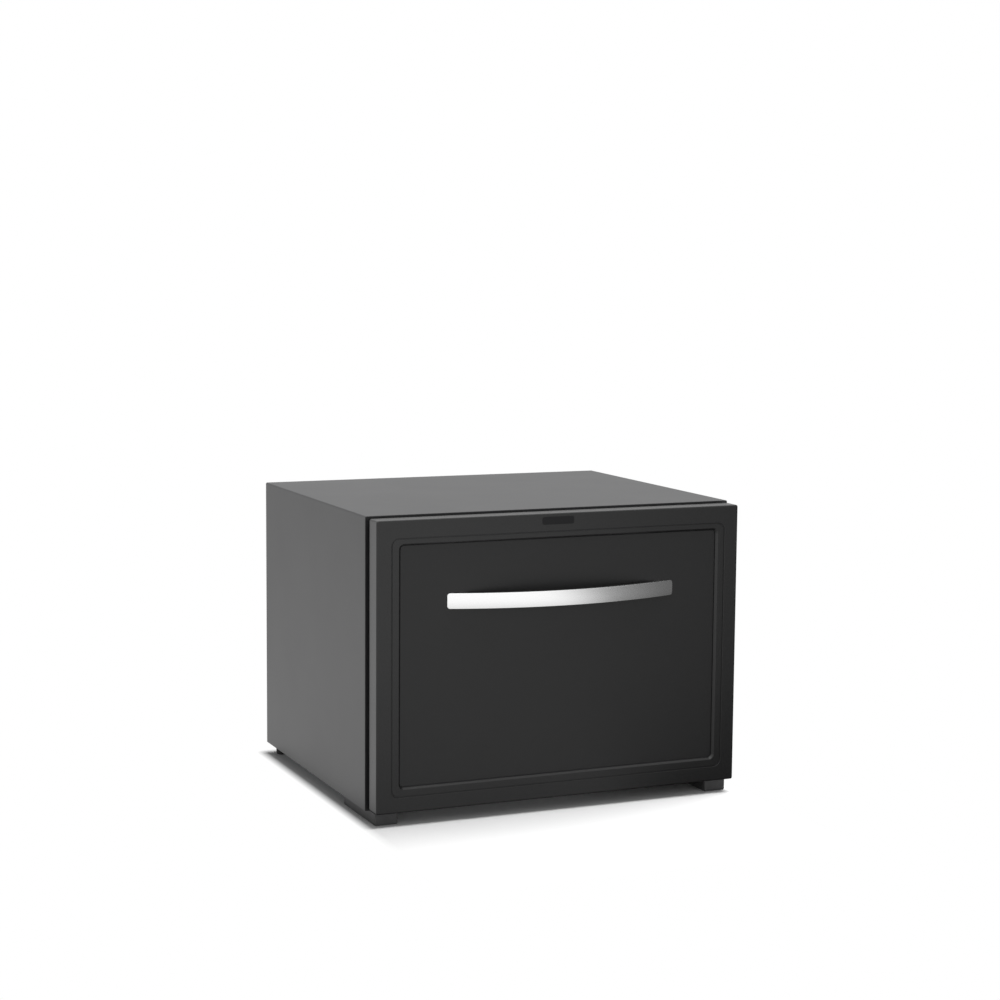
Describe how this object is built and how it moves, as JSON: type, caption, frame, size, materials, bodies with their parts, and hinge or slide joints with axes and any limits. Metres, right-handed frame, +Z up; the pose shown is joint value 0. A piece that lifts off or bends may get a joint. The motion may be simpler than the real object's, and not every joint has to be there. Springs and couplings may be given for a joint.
{
  "type": "drawer minibar refrigerator",
  "caption": "Free-standing hotel minibar refrigerator in satin black: a full-width insulated drawer with a bowed metal handle, on low feet.",
  "frame": {"origin": "centre of the bounding box in plan, on the floor that the feet stand on", "axes": "+X to the right seen from the front, +Y from the drawer front towards the back, +Z up"},
  "size_m": [0.57, 0.522, 0.433],
  "materials": {
    "shell_paint": "satin",
    "front_plastic": "satin",
    "panel_sheet": "matte",
    "handle_metal": "satin",
    "badge_metal": "satin",
    "seal_rubber": "matte",
    "foot_plastic": "matte",
    "foot_rubber": "matte",
    "liner_plastic": "gloss",
    "frame_plastic": "satin",
    "bin_plastic": "gloss",
    "divider_plastic": "gloss",
    "foam": "matte",
    "zinc_steel": "satin",
    "screw_steel": "satin",
    "evaporator_alu": "satin",
    "fin_alu": "satin",
    "unit_black": "satin",
    "jacket_steel": "satin",
    "lamp_plastic": "gloss",
    "control_plastic": "satin",
    "box_plastic": "matte"
  },
  "bodies": {
    "cabinet": {"outer_shell": "shell_paint", "base_pan": "zinc_steel", "back_plate": "zinc_steel", "inner_liner": "liner_plastic", "breaker_frame": "frame_plastic", "insulation": "foam", "foot_screws": "screw_steel", "rear_feet": "foot_rubber", "runner_screws": "screw_steel", "evaporator_plate": "evaporator_alu", "drip_channel": "liner_plastic", "evaporator_plug": "box_plastic", "control_housing": "control_plastic", "lamp_lens": "lamp_plastic", "boiler_tube": "unit_black", "boiler_jacket": "jacket_steel", "condenser_tube": "unit_black", "condenser_fins": "fin_alu", "absorber_vessel": "unit_black", "gas_heat_exchanger": "unit_black", "absorber_coil": "unit_black", "liquid_heat_exchanger": "unit_black", "unit_brackets": "zinc_steel", "vessel_cradle": "foot_plastic", "electronics_box": "box_plastic", "electronics_cover": "box_plastic", "cord_gland": "box_plastic", "front_foot_left": "foot_plastic", "front_foot_right": "foot_plastic", "outer_runner_left": "zinc_steel", "outer_runner_right": "zinc_steel"},
    "drawer": {"front_frame": "front_plastic", "panel_bezel": "front_plastic", "decor_panel": "panel_sheet", "front_cover": "liner_plastic", "front_foam": "foam", "gasket": "seal_rubber", "handle": "handle_metal", "handle_screws": "screw_steel", "badge_plate": "badge_metal", "inner_runner_left": "zinc_steel", "inner_runner_right": "zinc_steel", "carrier_arm_left": "zinc_steel", "carrier_arm_right": "zinc_steel", "carrier_floor": "zinc_steel", "carrier_screws": "screw_steel", "drawer_bin": "bin_plastic"},
    "middle_runners": {"middle_runner_left": "zinc_steel", "middle_runner_right": "zinc_steel"},
    "divider": {"bottle_divider": "divider_plastic"},
    "knob": {"thermostat_knob": "control_plastic"}
  },
  "joints": [
    {"name": "drawer_slide", "type": "slide", "parent": "cabinet", "child": "drawer", "axis": [0, -1, 0], "range_m": [0, 0.3]},
    {"name": "middle_runner_slide", "type": "slide", "parent": "cabinet", "child": "middle_runners", "axis": [0, -1, 0], "range_m": [0, 0.15]},
    {"name": "divider_slide", "type": "slide", "parent": "drawer", "child": "divider", "axis": [1, 0, 0], "range_m": [-0.18, 0.18]},
    {"name": "thermostat_turn", "type": "hinge", "parent": "cabinet", "child": "knob", "pos_m": [0.177, -0.169, 0.3794], "axis": [0, 1, 0], "range_deg": [0, 270]}
  ],
  "couplings": [
    {"joint": "middle_runner_slide", "follows": "drawer_slide", "ratio": 0.5}
  ]
}
